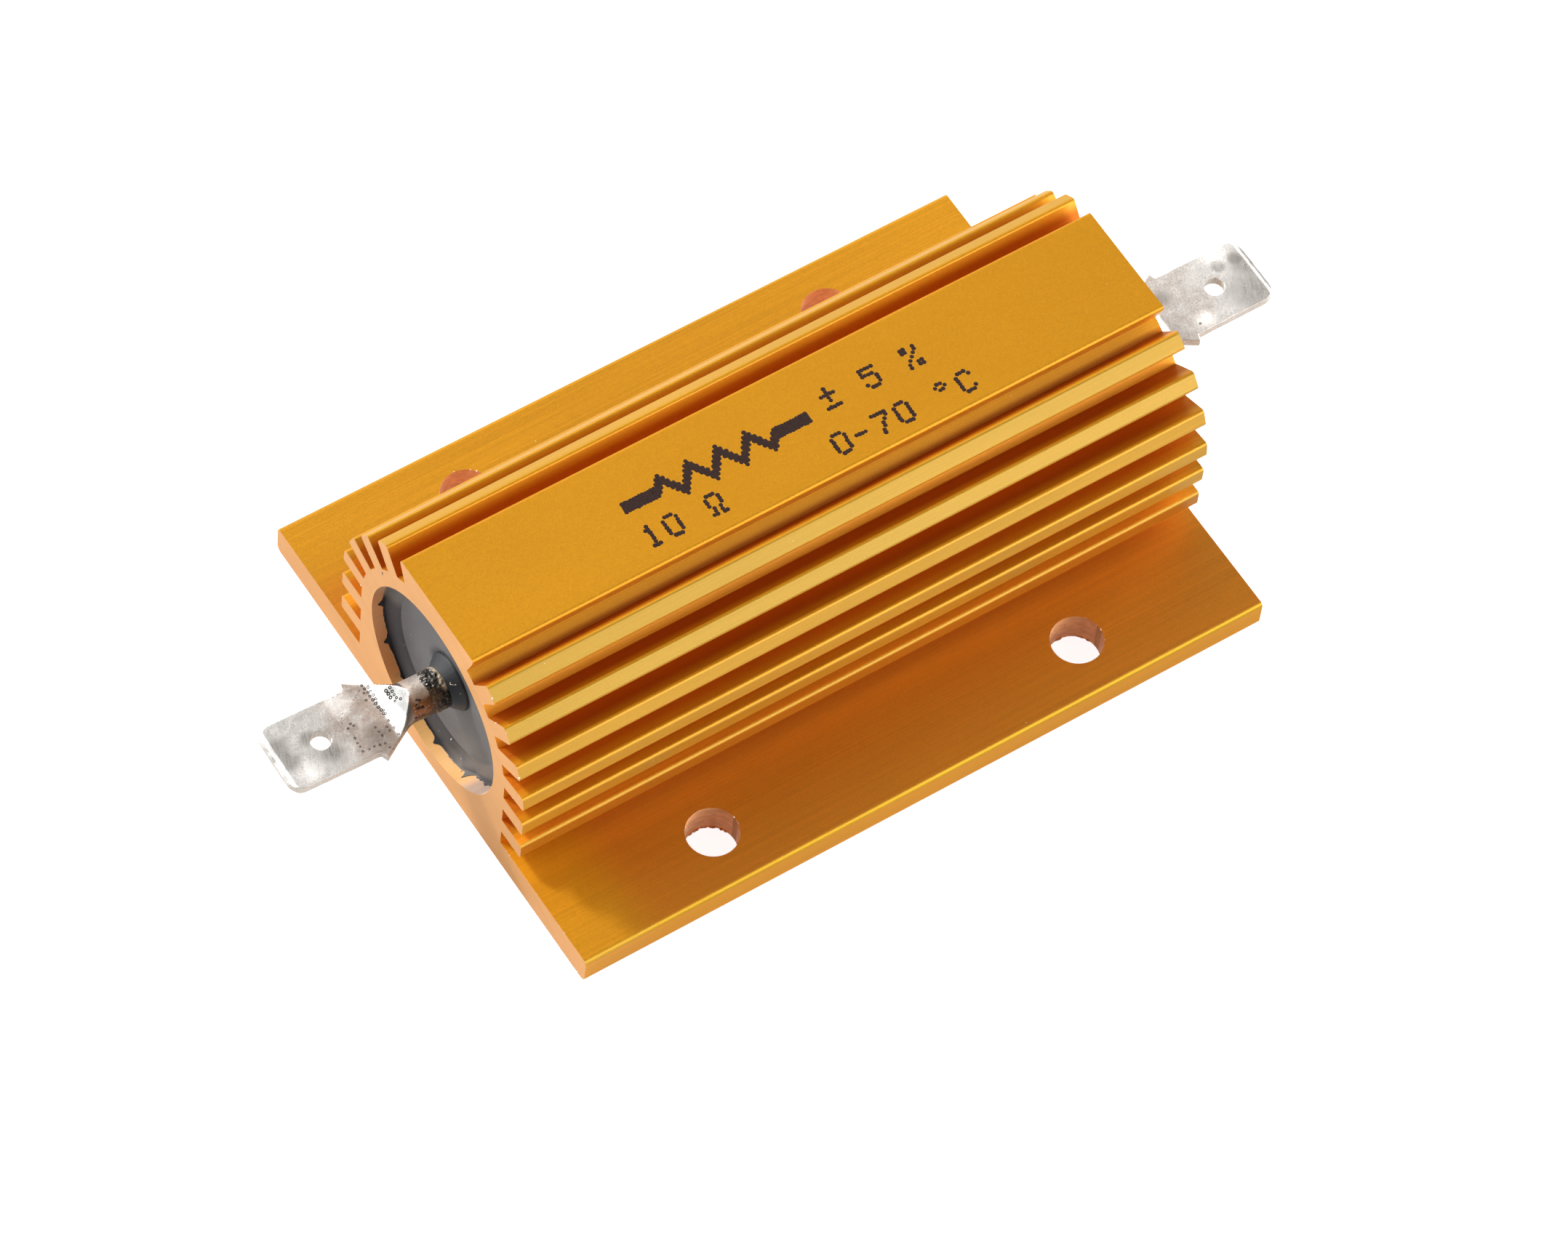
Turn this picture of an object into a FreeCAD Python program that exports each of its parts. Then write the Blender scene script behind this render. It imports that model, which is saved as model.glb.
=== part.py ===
import FreeCAD, Part
import math
import os

# Aluminium housed wirewound resistor, in millimetres.
# X runs along the extrusion, Y across the mounting flange, Z up from the base.
# The origin is the centre of the base.

# Housing: one extruded length, sawn off at both ends
body_length = 64.9
flange_width = 46.8
flange_thickness = 3.05
flange_edge_radius = 0.4
flange_foot_radius = 0.6
bore_diameter = 18.25
bore_floor = 1.92          # metal left below the bore
top_wall = 2.93            # metal left above the bore
barrel_wall = 1.57         # metal between the bore and the groove floors
block_top_width = 11.0     # the flat on top, which carries the marking
block_foot_width = 9.2     # the same block where it meets the barrel
block_edge_radius = 0.3

# Fins, the same on both sides
fin_depth = 2.85
fin_nose_radius = 0.3
radial_fin_count = 4
radial_fin_thickness = 1.62
first_fin_angle = 7.6      # degrees above the horizontal through the bore
fin_angle_step = 15.25
level_fin_count = 2
level_fin_thickness = 1.75

# Flange holes, one near each corner
hole_diameter = 4.45
hole_pitch_x = 35.0
hole_pitch_y = 37.0

# Moulding: its end faces lie back from the sawn ends
rim_recess = 0.95          # where it meets the bore
face_recess = 1.68         # flat middle of the end face
face_diameter = 14.7
collar_diameter = 5.16     # at the foot of the flared collar round each pin
collar_foot_height = 0.24
collar_edge_chamfer = 0.08
collar_height = 0.96

# Element inside the moulding
cap_cover = 4.0            # moulding over the end of each cap
cap_depth = 7.5
cap_wall = 0.5
cap_corner_chamfer = 0.3
core_diameter = 11.0
ribbon_width = 2.0
ribbon_thickness = 0.15
ribbon_turns = 7
ribbon_lap = 2.5           # how far the winding runs onto each cap
winding_clearance = 0.05

# Terminals, measured outwards from the sawn end
pin_diameter = 3.46
weld_reach = 0.05          # where pin and terminal are butted together
ramp_start = 2.42
ramp_end = 4.5
shoulder = 6.2
shoulder_width = 7.6
shoulder_rake = 0.25
flare_half_angle = 32.0    # degrees
flare_neck_radius = 2.0
tab_reach = 14.35
tab_width = 6.3
tab_thickness = 0.8
tab_corner_radius = 1.3
tab_bevel_length = 0.55
tab_bevel_depth = 0.2
tab_hole_diameter = 1.7
tab_hole_reach = 10.15
ramp_bend_radius = 0.8

# Worked out from the sizes above
bore_radius = bore_diameter / 2
barrel_radius = bore_radius + barrel_wall
fin_tip_radius = barrel_radius + fin_depth
bore_height = bore_floor + bore_radius
overall_height = bore_height + bore_radius + top_wall
end_plane = body_length / 2
cap_face = end_plane - face_recess - cap_cover
cap_mouth = cap_face - cap_depth
core_end = cap_face - cap_wall
core_neck_diameter = core_diameter - 2 * cap_wall
pin_radius = pin_diameter / 2

axis_point = FreeCAD.Vector(0, 0, bore_height)
along_x = FreeCAD.Vector(1, 0, 0)
along_y = FreeCAD.Vector(0, 1, 0)
along_z = FreeCAD.Vector(0, 0, 1)


def rounded_outline(corners):
    """Closed wire through corners of (point, radius), with an arc wherever the radius is above zero."""
    edges = []
    spans = []
    count = len(corners)
    for index, (point, radius) in enumerate(corners):
        before = (corners[index - 1][0] - point).normalize()
        after = (corners[(index + 1) % count][0] - point).normalize()
        if radius <= 0:
            spans.append((point, None, point))
            continue
        half_angle = before.getAngle(after) / 2
        setback = radius / math.tan(half_angle)
        middle_way = (before + after).normalize()
        centre = point + middle_way * (radius / math.sin(half_angle))
        spans.append((point + before * setback, centre - middle_way * radius, point + after * setback))
    for index, (start, middle, end) in enumerate(spans):
        if middle is not None:
            edges.append(Part.Arc(start, middle, end).toShape())
        following = spans[(index + 1) % count][0]
        if (following - end).Length > 1e-6:
            edges.append(Part.LineSegment(end, following).toShape())
    return Part.Wire(edges)


def section(corners):
    """Prism along the whole body from (y, z, radius) corners of its cross-section."""
    points = [(FreeCAD.Vector(-end_plane, y, z), radius) for y, z, radius in corners]
    return Part.Face(rounded_outline(points)).extrude(along_x * body_length)


def turned(corners):
    """Solid of revolution about the bore axis from (x, r, radius) corners above it."""
    points = [(FreeCAD.Vector(x, 0, bore_height + r), radius) for x, r, radius in corners]
    return Part.Face(rounded_outline(points)).revolve(axis_point, along_x, 360)


def rod(diameter, start, end):
    """Cylinder on the bore axis from x = start to x = end."""
    foot = FreeCAD.Vector(start, 0, bore_height)
    return Part.makeCylinder(diameter / 2, end - start, foot, along_x)


def mirrored(shape):
    """The same shape at the other end of the body."""
    return shape.mirror(FreeCAD.Vector(0, 0, 0), along_x)


def flange():
    half = flange_width / 2
    return section([(-half, 0, flange_foot_radius),
                    (half, 0, flange_foot_radius),
                    (half, flange_thickness, flange_edge_radius),
                    (-half, flange_thickness, flange_edge_radius)])


def barrel():
    tube = rod(2 * barrel_radius, -end_plane, end_plane)
    pedestal = section([(-barrel_radius, 0, 0), (barrel_radius, 0, 0),
                        (barrel_radius, bore_height, 0), (-barrel_radius, bore_height, 0)])
    return tube.fuse(pedestal)


def top_block():
    top = block_top_width / 2
    foot = block_foot_width / 2
    foot_height = bore_height + math.sqrt(barrel_radius ** 2 - foot ** 2)
    edge = block_edge_radius
    return section([(-foot, bore_height, 0), (foot, bore_height, 0), (foot, foot_height, 0),
                    (top, overall_height, edge), (-top, overall_height, edge), (-foot, foot_height, 0)])


def radial_fin(angle, side):
    """Fin that points straight out from the bore axis; side is +1 or -1."""
    outward = FreeCAD.Vector(0, side * math.cos(angle), math.sin(angle))
    across = FreeCAD.Vector(0, -side * math.sin(angle), math.cos(angle)) * (radial_fin_thickness / 2)
    root = outward * (bore_radius + barrel_wall / 2)
    tip = outward * fin_tip_radius
    corners = []
    for place, radius in ((root - across, 0), (tip - across, fin_nose_radius),
                          (tip + across, fin_nose_radius), (root + across, 0)):
        corners.append((place.y, bore_height + place.z, radius))
    return section(corners)


def level_fins(side):
    """Fins below the bore axis, spaced evenly between the flange and the lowest radial fin."""
    lowest = math.radians(first_fin_angle)
    middle = (barrel_radius + fin_tip_radius) / 2
    ceiling = bore_height + middle * math.sin(lowest) - radial_fin_thickness / 2 / math.cos(lowest)
    room = ceiling - flange_thickness - level_fin_count * level_fin_thickness
    groove = room / (level_fin_count + 1)
    root = side * (bore_radius + barrel_wall / 2)
    tip = side * fin_tip_radius
    fins = []
    for index in range(level_fin_count):
        low = flange_thickness + groove + index * (groove + level_fin_thickness)
        high = low + level_fin_thickness
        fins.append(section([(root, low, 0), (tip, low, fin_nose_radius), (tip, high, fin_nose_radius),
                             (root, high, 0)]))
    return fins


def flange_holes():
    holes = []
    for x in (-hole_pitch_x / 2, hole_pitch_x / 2):
        for y in (-hole_pitch_y / 2, hole_pitch_y / 2):
            holes.append(Part.makeCylinder(hole_diameter / 2, flange_thickness, FreeCAD.Vector(x, y, 0)))
    return holes


def make_housing():
    pieces = [barrel(), top_block()]
    for side in (1, -1):
        for index in range(radial_fin_count):
            pieces.append(radial_fin(math.radians(first_fin_angle + index * fin_angle_step), side))
        pieces += level_fins(side)
    body = flange().fuse(pieces).removeSplitter()
    return body.cut([rod(bore_diameter, -end_plane, end_plane)] + flange_holes())


def make_moulding():
    """Compound that fills the bore round the element, with a dished face and a collar at each end."""
    rim = end_plane - rim_recess
    face = end_plane - face_recess
    collar_foot = collar_diameter / 2
    right_end = [(face + collar_height, 0, 0),
                 (face + collar_height, pin_radius, 0),
                 (face + collar_foot_height, collar_foot - collar_edge_chamfer, 0),
                 (face + collar_foot_height - collar_edge_chamfer, collar_foot, 0),
                 (face, collar_foot, 0),
                 (face, face_diameter / 2, 0),
                 (rim, bore_radius, 0)]
    left_end = [(-x, r, radius) for x, r, radius in reversed(right_end)]
    outline = left_end + right_end
    winding_end = cap_mouth + ribbon_lap + winding_clearance
    winding_room = core_diameter + 2 * (ribbon_thickness + winding_clearance)
    cap = cap_outside(0)
    hollow = rod(winding_room, -winding_end, winding_end).fuse([cap, mirrored(cap)])
    hollow = hollow.fuse(rod(pin_diameter, -end_plane, end_plane)).removeSplitter()
    return turned(outline).cut(hollow)


def cap_outside(start):
    """Outer form of a cap, from x = start to its closed end, with no hollow."""
    radius = core_diameter / 2
    chamfer = cap_corner_chamfer
    return turned([(start, 0, 0), (cap_face, 0, 0), (cap_face, radius - chamfer, 0),
                   (cap_face - chamfer, radius, 0), (start, radius, 0)])


def make_end_cap():
    return cap_outside(cap_mouth).cut(rod(core_neck_diameter, cap_mouth, core_end))


def make_core():
    """Former with a neck at each end, so that the caps lie flush with the winding's seat."""
    neck = rod(core_neck_diameter, -core_end, core_end)
    return neck.fuse(rod(core_diameter, -cap_mouth, cap_mouth)).removeSplitter()


def make_winding():
    """Flat ribbon in even turns, its first and last turns lying on the caps."""
    inner = core_diameter / 2
    run = 2 * (cap_mouth + ribbon_lap) - ribbon_width
    helix = Part.makeHelix(run / ribbon_turns, run, inner)
    half = ribbon_width / 2
    outer = inner + ribbon_thickness
    ribbon = Part.makePolygon([FreeCAD.Vector(inner, 0, -half), FreeCAD.Vector(inner, 0, half),
                               FreeCAD.Vector(outer, 0, half), FreeCAD.Vector(outer, 0, -half),
                               FreeCAD.Vector(inner, 0, -half)])
    coil = Part.Wire(helix).makePipeShell([ribbon], True, True)
    coil.rotate(FreeCAD.Vector(0, 0, 0), along_y, 90)
    coil.translate(FreeCAD.Vector(-run / 2, 0, bore_height))
    return coil


def make_lead_pin():
    return rod(pin_diameter, cap_face, end_plane + weld_reach)


def make_terminal():
    """Round stem flattened into a shouldered tab; the ramps leave an arched edge on the stem."""
    def along(reach):
        return end_plane + reach

    start = along(weld_reach)
    half_thickness = tab_thickness / 2
    flare_run = (shoulder_width / 2 - pin_radius) / math.tan(math.radians(flare_half_angle))
    flare = turned([(start, 0, 0), (start, pin_radius, 0),
                    (along(shoulder) - flare_run, pin_radius, flare_neck_radius),
                    (along(shoulder), shoulder_width / 2, 0),
                    (along(shoulder + shoulder_rake), tab_width / 2, 0),
                    (along(shoulder + shoulder_rake), 0, 0)])
    half = tab_width / 2
    plan = []
    for reach, y, radius in ((shoulder, -half, 0), (tab_reach, -half, tab_corner_radius),
                             (tab_reach, half, tab_corner_radius), (shoulder, half, 0)):
        plan.append((FreeCAD.Vector(along(reach), y, bore_height - half_thickness), radius))
    tab = Part.Face(rounded_outline(plan)).extrude(along_z * tab_thickness)

    upper = [(start, pin_radius, 0), (along(ramp_start), pin_radius, ramp_bend_radius),
             (along(ramp_end), half_thickness, ramp_bend_radius),
             (along(tab_reach - tab_bevel_length), half_thickness, 0),
             (along(tab_reach), half_thickness - tab_bevel_depth, 0)]
    lower = [(x, -z, radius) for x, z, radius in reversed(upper)]
    side_view = []
    for x, z, radius in upper + lower:
        side_view.append((FreeCAD.Vector(x, -shoulder_width, bore_height + z), radius))
    envelope = Part.Face(rounded_outline(side_view)).extrude(along_y * (2 * shoulder_width))
    hole = Part.makeCylinder(tab_hole_diameter / 2, tab_thickness,
                             FreeCAD.Vector(along(tab_hole_reach), 0, bore_height - half_thickness))
    return flare.fuse(tab).common(envelope).cut(hole).removeSplitter()


def save(name, shape):
    solid = shape.Solids[0]
    print(name, len(shape.Solids), "solid", "valid" if solid.isValid() else "NOT VALID",
          "volume", round(solid.Volume, 2), "faces", len(solid.Faces))
    solid.exportStep(os.path.join("parts", name + ".step"))


os.makedirs("parts", exist_ok=True)
save("housing", make_housing())
save("moulding", make_moulding())
save("ceramic_core", make_core())
save("resistance_winding", make_winding())
for piece, make in (("end_cap", make_end_cap), ("lead_pin", make_lead_pin), ("terminal", make_terminal)):
    right = make()
    save(piece + "_right", right)
    save(piece + "_left", mirrored(right))
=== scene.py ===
import math
import random
import bpy
import bmesh
from mathutils import Euler, Matrix, Vector, bvhtree, noise


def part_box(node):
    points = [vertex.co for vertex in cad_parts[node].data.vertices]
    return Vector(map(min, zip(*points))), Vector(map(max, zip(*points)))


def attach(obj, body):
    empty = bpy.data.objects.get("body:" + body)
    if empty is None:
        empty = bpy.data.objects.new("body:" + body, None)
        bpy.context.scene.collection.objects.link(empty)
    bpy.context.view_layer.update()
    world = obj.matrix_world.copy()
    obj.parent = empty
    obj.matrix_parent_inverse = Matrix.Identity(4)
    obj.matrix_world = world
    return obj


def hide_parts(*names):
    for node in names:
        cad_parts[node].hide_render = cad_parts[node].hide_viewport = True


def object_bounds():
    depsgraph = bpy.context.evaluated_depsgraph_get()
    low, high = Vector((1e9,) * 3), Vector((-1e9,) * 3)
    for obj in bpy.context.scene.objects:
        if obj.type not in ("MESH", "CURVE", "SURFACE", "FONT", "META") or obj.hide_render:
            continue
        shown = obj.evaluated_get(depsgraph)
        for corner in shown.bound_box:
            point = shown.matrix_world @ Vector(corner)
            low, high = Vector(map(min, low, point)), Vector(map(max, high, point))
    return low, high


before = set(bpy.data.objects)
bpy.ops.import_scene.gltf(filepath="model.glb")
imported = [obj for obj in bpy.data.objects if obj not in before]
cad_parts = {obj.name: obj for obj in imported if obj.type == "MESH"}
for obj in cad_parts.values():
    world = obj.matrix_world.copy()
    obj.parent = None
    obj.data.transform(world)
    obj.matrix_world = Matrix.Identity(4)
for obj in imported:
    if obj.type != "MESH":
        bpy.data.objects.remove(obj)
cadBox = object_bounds()

# The pieces are modelled in millimetres and scaled to metres when they are finished.
# X runs along the extrusion with the near end at -X, Y across the flange, Z up.
mm = 0.001
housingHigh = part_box("housing")[1] / mm
pinLow, pinHigh = [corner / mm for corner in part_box("lead_pin_right")]
mouldingLow, mouldingHigh = [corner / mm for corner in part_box("moulding")]
endPlane = housingHigh.x
flatHeight = housingHigh.z
axisHeight = (pinLow.z + pinHigh.z) / 2
stemRadius = (pinHigh.z - pinLow.z) / 2
boreRadius = (mouldingHigh.y - mouldingLow.y) / 2
flangeTop = 3.05
ends = {-1: "left", 1: "right"}
alongX = Vector((1, 0, 0))
alongZ = Vector((0, 0, 1))
holes = {"pitchX": 35.0, "pitchY": 37.0, "radius": 2.225}
holeCentres = [Vector((holes["pitchX"] * along / 2, holes["pitchY"] * across / 2, 0))
               for along in (-1, 1) for across in (-1, 1)]
mergeGap = 1e-7  # metres, closes the seams between the faces of a CAD node
proud = 0.015 * mm  # how far ink and burrs may stand outside the box of the CAD model
nearby = 0.05  # how near a face's middle lies to the round wall it is part of


def onCircle(angle):
    return Vector((math.cos(angle), math.sin(angle), 0))


def operator(operation, swapped=False):
    def apply(self, other):
        return self.math(operation, *((other, self) if swapped else (self, other)))
    return apply


# Shader maths: a Signal is one socket that takes part in expressions
class Signal:
    def __init__(self, finish, socket):
        self.finish, self.socket = finish, socket

    def math(self, operation, *values):
        return self.finish.node("ShaderNodeMath", {"operation": operation}, dict(enumerate(values)))

    __add__, __radd__ = operator("ADD"), operator("ADD", True)
    __sub__, __rsub__ = operator("SUBTRACT"), operator("SUBTRACT", True)
    __mul__, __rmul__ = operator("MULTIPLY"), operator("MULTIPLY", True)
    __pow__ = operator("POWER")

    def size(self):
        return self.math("ABSOLUTE", self)

    def larger(self, other):
        return self.math("MAXIMUM", self, other)

    def swing(self, amount):  # a noise of 0 to 1 made to vary around zero
        return (self - 0.5) * amount

    def above(self, low, high):  # 0 up to low, 1 from high, smooth between
        return self.finish.step(self, low, high, 0.0, 1.0)

    def below(self, low, high):
        return self.finish.step(self, low, high, 1.0, 0.0)


class Finish:
    def __init__(self, name, owner=None):
        self.material = owner or bpy.data.materials.new(name)
        self.material.use_nodes = True
        self.tree = self.material.node_tree
        self.tree.nodes.clear()
        self.place = self.node("ShaderNodeTexCoord", output="Object")

    def node(self, kind, settings=None, values=None, output=0):
        made = self.tree.nodes.new(kind)
        for key, value in (settings or {}).items():
            setattr(made, key, value)
        for key, value in (values or {}).items():
            self.feed(made.inputs[key], value)
        return Signal(self, made.outputs[output]) if made.outputs else None

    def feed(self, socket, value):
        if isinstance(value, Signal):
            self.tree.links.new(value.socket, socket)
        else:
            socket.default_value = (*value, 1.0) if socket.type == "RGBA" else value

    def step(self, value, low, high, start, end):
        return self.node("ShaderNodeMapRange", {"interpolation_type": "SMOOTHSTEP"},
                         {"Value": value, "From Min": low, "From Max": high, "To Min": start,
                          "To Max": end})

    def parts(self, vector):
        split = self.node("ShaderNodeSeparateXYZ", values={0: vector})
        return [Signal(self, socket) for socket in split.socket.node.outputs]

    def axes(self):  # x, y and z in millimetres
        return [part * (1 / mm) for part in self.parts(self.place)]

    def facing(self):  # which way the surface faces
        return self.parts(self.node("ShaderNodeNewGeometry", output="Normal"))

    def spread(self, features, turn=(0, 0, 0)):  # coordinates in which a feature of this size is one unit
        features = features if isinstance(features, list) else [features] * 3
        return self.node("ShaderNodeMapping", {"vector_type": "TEXTURE"},
                         {"Vector": self.place, "Scale": [mm * size for size in features],
                          "Rotation": [math.radians(angle) for angle in turn]})

    def cloud(self, features, detail=2.0, turn=(0, 0, 0), where=None, distortion=0.0):
        return self.node("ShaderNodeTexNoise", {},
                         {"Vector": where or self.spread(features, turn), "Scale": 1.0, "Detail": detail,
                          "Distortion": distortion}, output="Fac")

    def cells(self, features):
        return self.node("ShaderNodeTexVoronoi", {"feature": "F1"},
                         {"Vector": self.spread(features), "Scale": 1.0}, output="Distance")

    def mix(self, factor, first, second):
        made = self.node("ShaderNodeMix", {"data_type": "RGBA"}).socket.node
        self.feed(made.inputs[0], factor)
        self.feed(made.inputs[6], first)
        self.feed(made.inputs[7], second)
        return Signal(self, made.outputs[2])

    def layers(self, colour, *steps):  # each step lays a colour over the last by its share
        for share, over in steps:
            colour = self.mix(share, colour, over)
        return colour

    def shade(self, colour, amount):  # colour made lighter or darker by a value around 1
        return self.node("ShaderNodeVectorMath", {"operation": "SCALE"}, {0: colour, "Scale": amount})

    def bump(self, height, distance, under=None):
        values = {"Height": height, "Strength": 1.0, "Distance": distance * mm}
        if under:
            values["Normal"] = under
        return self.node("ShaderNodeBump", {}, values)

    def surface(self, colour, metallic, roughness, relief=None, others=None):
        values = {"Base Color": colour, "Metallic": metallic, "Roughness": roughness, **(others or {})}
        if relief:
            values["Normal"] = relief
        shader = self.node("ShaderNodeBsdfPrincipled", {}, values)
        self.node("ShaderNodeOutputMaterial", {}, {"Surface": shader})
        return self.material


# Each look below holds its colours and strengths. A pair of numbers is where a tint comes in or goes out,
# in millimetres unless said otherwise: out is the distance from the bore's axis, rise the height over it,
# aside the distance from the middle plane, reach the distance past the sawn end.

# Finishes of the housing
# The groove and flange colours below are painted shade; the tip, edge, side and low fin colours are painted
# light and highlight tints.
goldLook = {
    "gold": (0.70, 0.302, 0.008), "groove": (0.48, 0.125, 0.007), "grooveLow": (0.64, 0.19, 0.009),
    "tip": (0.57, 0.300, 0.027), "tipHighlight": (0.44, 0.255, 0.026), "lowNoseShade": (0.50, 0.20, 0.012),
    "lowShelfLit": (0.95, 0.37, 0.016), "flangeEdgeHighlight": (0.58, 0.305, 0.014),
    "flangeSideLight": (0.70, 0.308, 0.026), "flangeShade": (0.64, 0.15, 0.022), "speck": (0.95, 0.80, 0.60),
    "shallow": (1.0, 0.70, 0.32), "metallic": 0.68, "roughness": 0.42, "coat": 0.45,
    "coatRoughness": 0.34, "grain": 0.13, "lines": [24.0, 0.11, 0.11],
    "broad": [16.0, 7.0, 7.0], "specks": 2.6, "speckSize": (0.010, 0.022), "grainTone": 0.26,
    "lineTone": 0.34, "broadTone": 0.12, "topShade": 0.08, "footOfFinsLight": 0.3, "flangeShadeShare": 0.5,
    "rootShadeShare": 0.9, "barrelShadeShare": 0.45, "topLined": 0.8,
}
section = {
    "topHeight": (flatHeight - 0.35, flatHeight - 0.2), "overFlange": (flangeTop + 0.02, flangeTop + 0.6),
    "grooveMouth": (12.2, 13.3), "grooveFloor": (10.72, 10.86), "barrel": (10.74, 10.84),
    "blockSide": (5.2, 5.5), "middle": (-1.0, 1.0), "litEnd": (-29.0, -24.0), "byFins": (14.0, 20.0),
    "nearFlange": (-14.0, -13.0), "rootFrom": (5.1, 5.6), "rootTo": (6.0, 6.4), "openBarrelShade": (6.4, 7.2),
    "lowGroove": (2.0, 7.0), "flangeRise": (-7.9, -7.5), "highFins": (6.2, 7.6), "nose": (13.50, 13.54),
    "lowFinOut": (12.9, 13.3), "lowFinRise": (-3.6, -3.2), "side": (23.2, 23.3), "edge": (23.08, 23.2),
    "edgeHeight": (2.5, 2.8), "footOfFins": (13.2, 16.0),
}
tilt = {"level": (0.88, 0.97), "leaning": (0.1, 0.35), "upright": (0.35, 0.75)}  # Z of the normal


def anodisedFinish():  # drawing lines and fine grain; painted shade, darker and redder, between the fins and on the flange beside them; painted highlight tints on the fin noses and the flange edge
    f = Finish("goldAnodised")
    look, at = goldLook, section
    x, y, z = f.axes()
    rise = z - axisHeight
    out = (y * y + rise * rise) ** 0.5
    aside = y.size()
    up = f.facing()[2]
    grain = f.cloud(look["grain"], detail=3.0)
    lines = f.cloud(look["lines"], detail=3.0)
    broad = f.cloud(look["broad"], detail=1.0)
    specks = f.cells(look["specks"]).below(*look["speckSize"])
    onTop = z.above(*at["topHeight"])
    offFlange = z.above(*at["overFlange"])
    # the flange sides get a yellower tint, painted light
    onSide = aside.above(*at["side"])
    nose = out.above(*at["nose"]) * offFlange
    nearSide = y.below(*at["middle"])
    litCorner = x.below(*at["litEnd"]) * nearSide
    lined = 1 - look["topLined"] * onTop

    # painted shade: the grooves, the fin roots, the open barrel and the flange beside the fins get darker,
    # redder colours, except at the lit end of the near flange
    groove = out.below(*at["grooveMouth"]) * out.above(*at["grooveFloor"]) * offFlange
    groove = groove * aside.above(*at["blockSide"])
    shaded = (aside.below(*at["byFins"]) + y.below(*at["nearFlange"])).above(0.0, 1.0)
    groove = groove.larger(shaded * (1 - litCorner) * (1 - offFlange) * look["flangeShadeShare"])
    finRootShade = aside.above(*at["rootFrom"]) * aside.below(*at["rootTo"]) * look["rootShadeShare"]
    openBarrelShade = aside.above(*at["openBarrelShade"]) * look["barrelShadeShare"]
    onBarrel = out.below(*at["barrel"]) * offFlange
    groove = groove.larger(onBarrel * (finRootShade + openBarrelShade))

    # the painted shade colours of the grooves, the low grooves and the flange
    deep = f.layers(look["groove"], (rise.below(*at["lowGroove"]), look["grooveLow"]),
                    (rise.below(*at["flangeRise"]), look["flangeShade"]))
    # painted highlight tints on the fin noses, paler for the high fins on the near side
    tip = f.mix(rise.above(*at["highFins"]) * nearSide, look["tip"], look["tipHighlight"])
    # painted light on the level upper faces of the low fins, painted shade on their noses, and the painted
    # highlight tint on their rounded corners
    lowFinLighting = f.layers(look["lowNoseShade"], (up.above(*tilt["leaning"]), look["tip"]),
                      (up.above(*tilt["level"]), look["lowShelfLit"]))
    onLowFin = out.above(*at["lowFinOut"]) * rise.below(*at["lowFinRise"]) * offFlange
    # painted highlight along the flange's long top edge
    onEdgeHighlight = aside.above(*at["edge"]) * z.above(*at["edgeHeight"])
    # the top flat is darkened slightly, painted shade
    colour = f.layers(f.shade(look["gold"], 1 - look["topShade"] * onTop), (groove, deep), (nose, tip),
                      (onLowFin, lowFinLighting), (onSide, look["flangeSideLight"]), (onEdgeHighlight, look["flangeEdgeHighlight"]))

    tone = 1 + grain.swing(look["grainTone"]) + lines.swing(look["lineTone"]) * lined
    tone = tone + broad.swing(look["broadTone"])
    # painted light lifts the near flange beside the foot of the fins
    tone = tone + aside.below(*at["footOfFins"]) * nearSide * (1 - offFlange) * look["footOfFinsLight"]
    colour = f.mix(specks * 0.7, f.shade(colour, tone), look["speck"])
    relief = f.bump(lines * lined, 0.005, f.bump(grain, 0.010))
    roughness = look["roughness"] + grain.swing(0.14) + lines.swing(0.12) * lined + nose * 0.06
    return f.surface(colour, look["metallic"] * (1 - specks), roughness, relief, {
        "Specular Tint": look["shallow"], "Coat Roughness": look["coatRoughness"],
        "Coat Weight": look["coat"] * (1 - groove * 0.8 - onSide * 0.3 - onTop * 0.3)})


sawnLook = {
    "metal": (0.615, 0.295, 0.092), "cut": (0.74, 0.42, 0.18), "strokes": [1.0, 9.0, 0.09], "lean": 24.0,
    "wide": [1.0, 8.0, 1.6], "grain": 0.10, "scratch": (0.66, 0.74), "metallic": 0.25,
    "roughness": 0.52, "nick": Vector((0, 7.8, 17.75)), "nickShape": (1.9, 0.8), "nickSize": (0.10, 0.22),
    "nickEdge": 0.25, "nickDark": (0.03, 0.02, 0.02),
}


def sawnFinish():  # saw strokes, and one dark nick at the near end
    f = Finish("sawnEnd")
    look = sawnLook
    x, y, z = f.axes()
    turn = (look["lean"], 0, 0)
    strokes = f.cloud(look["strokes"], detail=3.0, turn=turn)
    wide = f.cloud(look["wide"], detail=1.0, turn=turn)
    grain = f.cloud(look["grain"])
    wander = (f.cloud(look["nickEdge"]) - 0.5) * 0.5
    across = (y - look["nick"].y) * look["nickShape"][0]
    along = (z - look["nick"].z) * look["nickShape"][1]
    nick = ((across ** 2 + along ** 2) ** 0.5 + wander).below(*look["nickSize"]) * x.below(0.0, 1.0)
    tone = 1 + strokes.swing(0.18) + wide.swing(0.14) + grain.swing(0.10)
    colour = f.mix(strokes.above(*look["scratch"]) * 0.5, look["metal"], look["cut"])
    colour = f.mix(nick, f.shade(colour, tone), look["nickDark"])
    return f.surface(colour, look["metallic"], look["roughness"] + strokes.swing(0.2),
                     f.bump(strokes, 0.006, f.bump(grain, 0.004)))


drilledLook = {
    "dark": (0.80, 0.38, 0.15), "light": (0.95, 0.50, 0.22), "rings": [6.0, 6.0, 0.07],
    "stain": [0.8, 0.8, 0.5], "stained": (0.35, 0.7), "metallic": 0.3, "roughness": 0.45,
}


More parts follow.
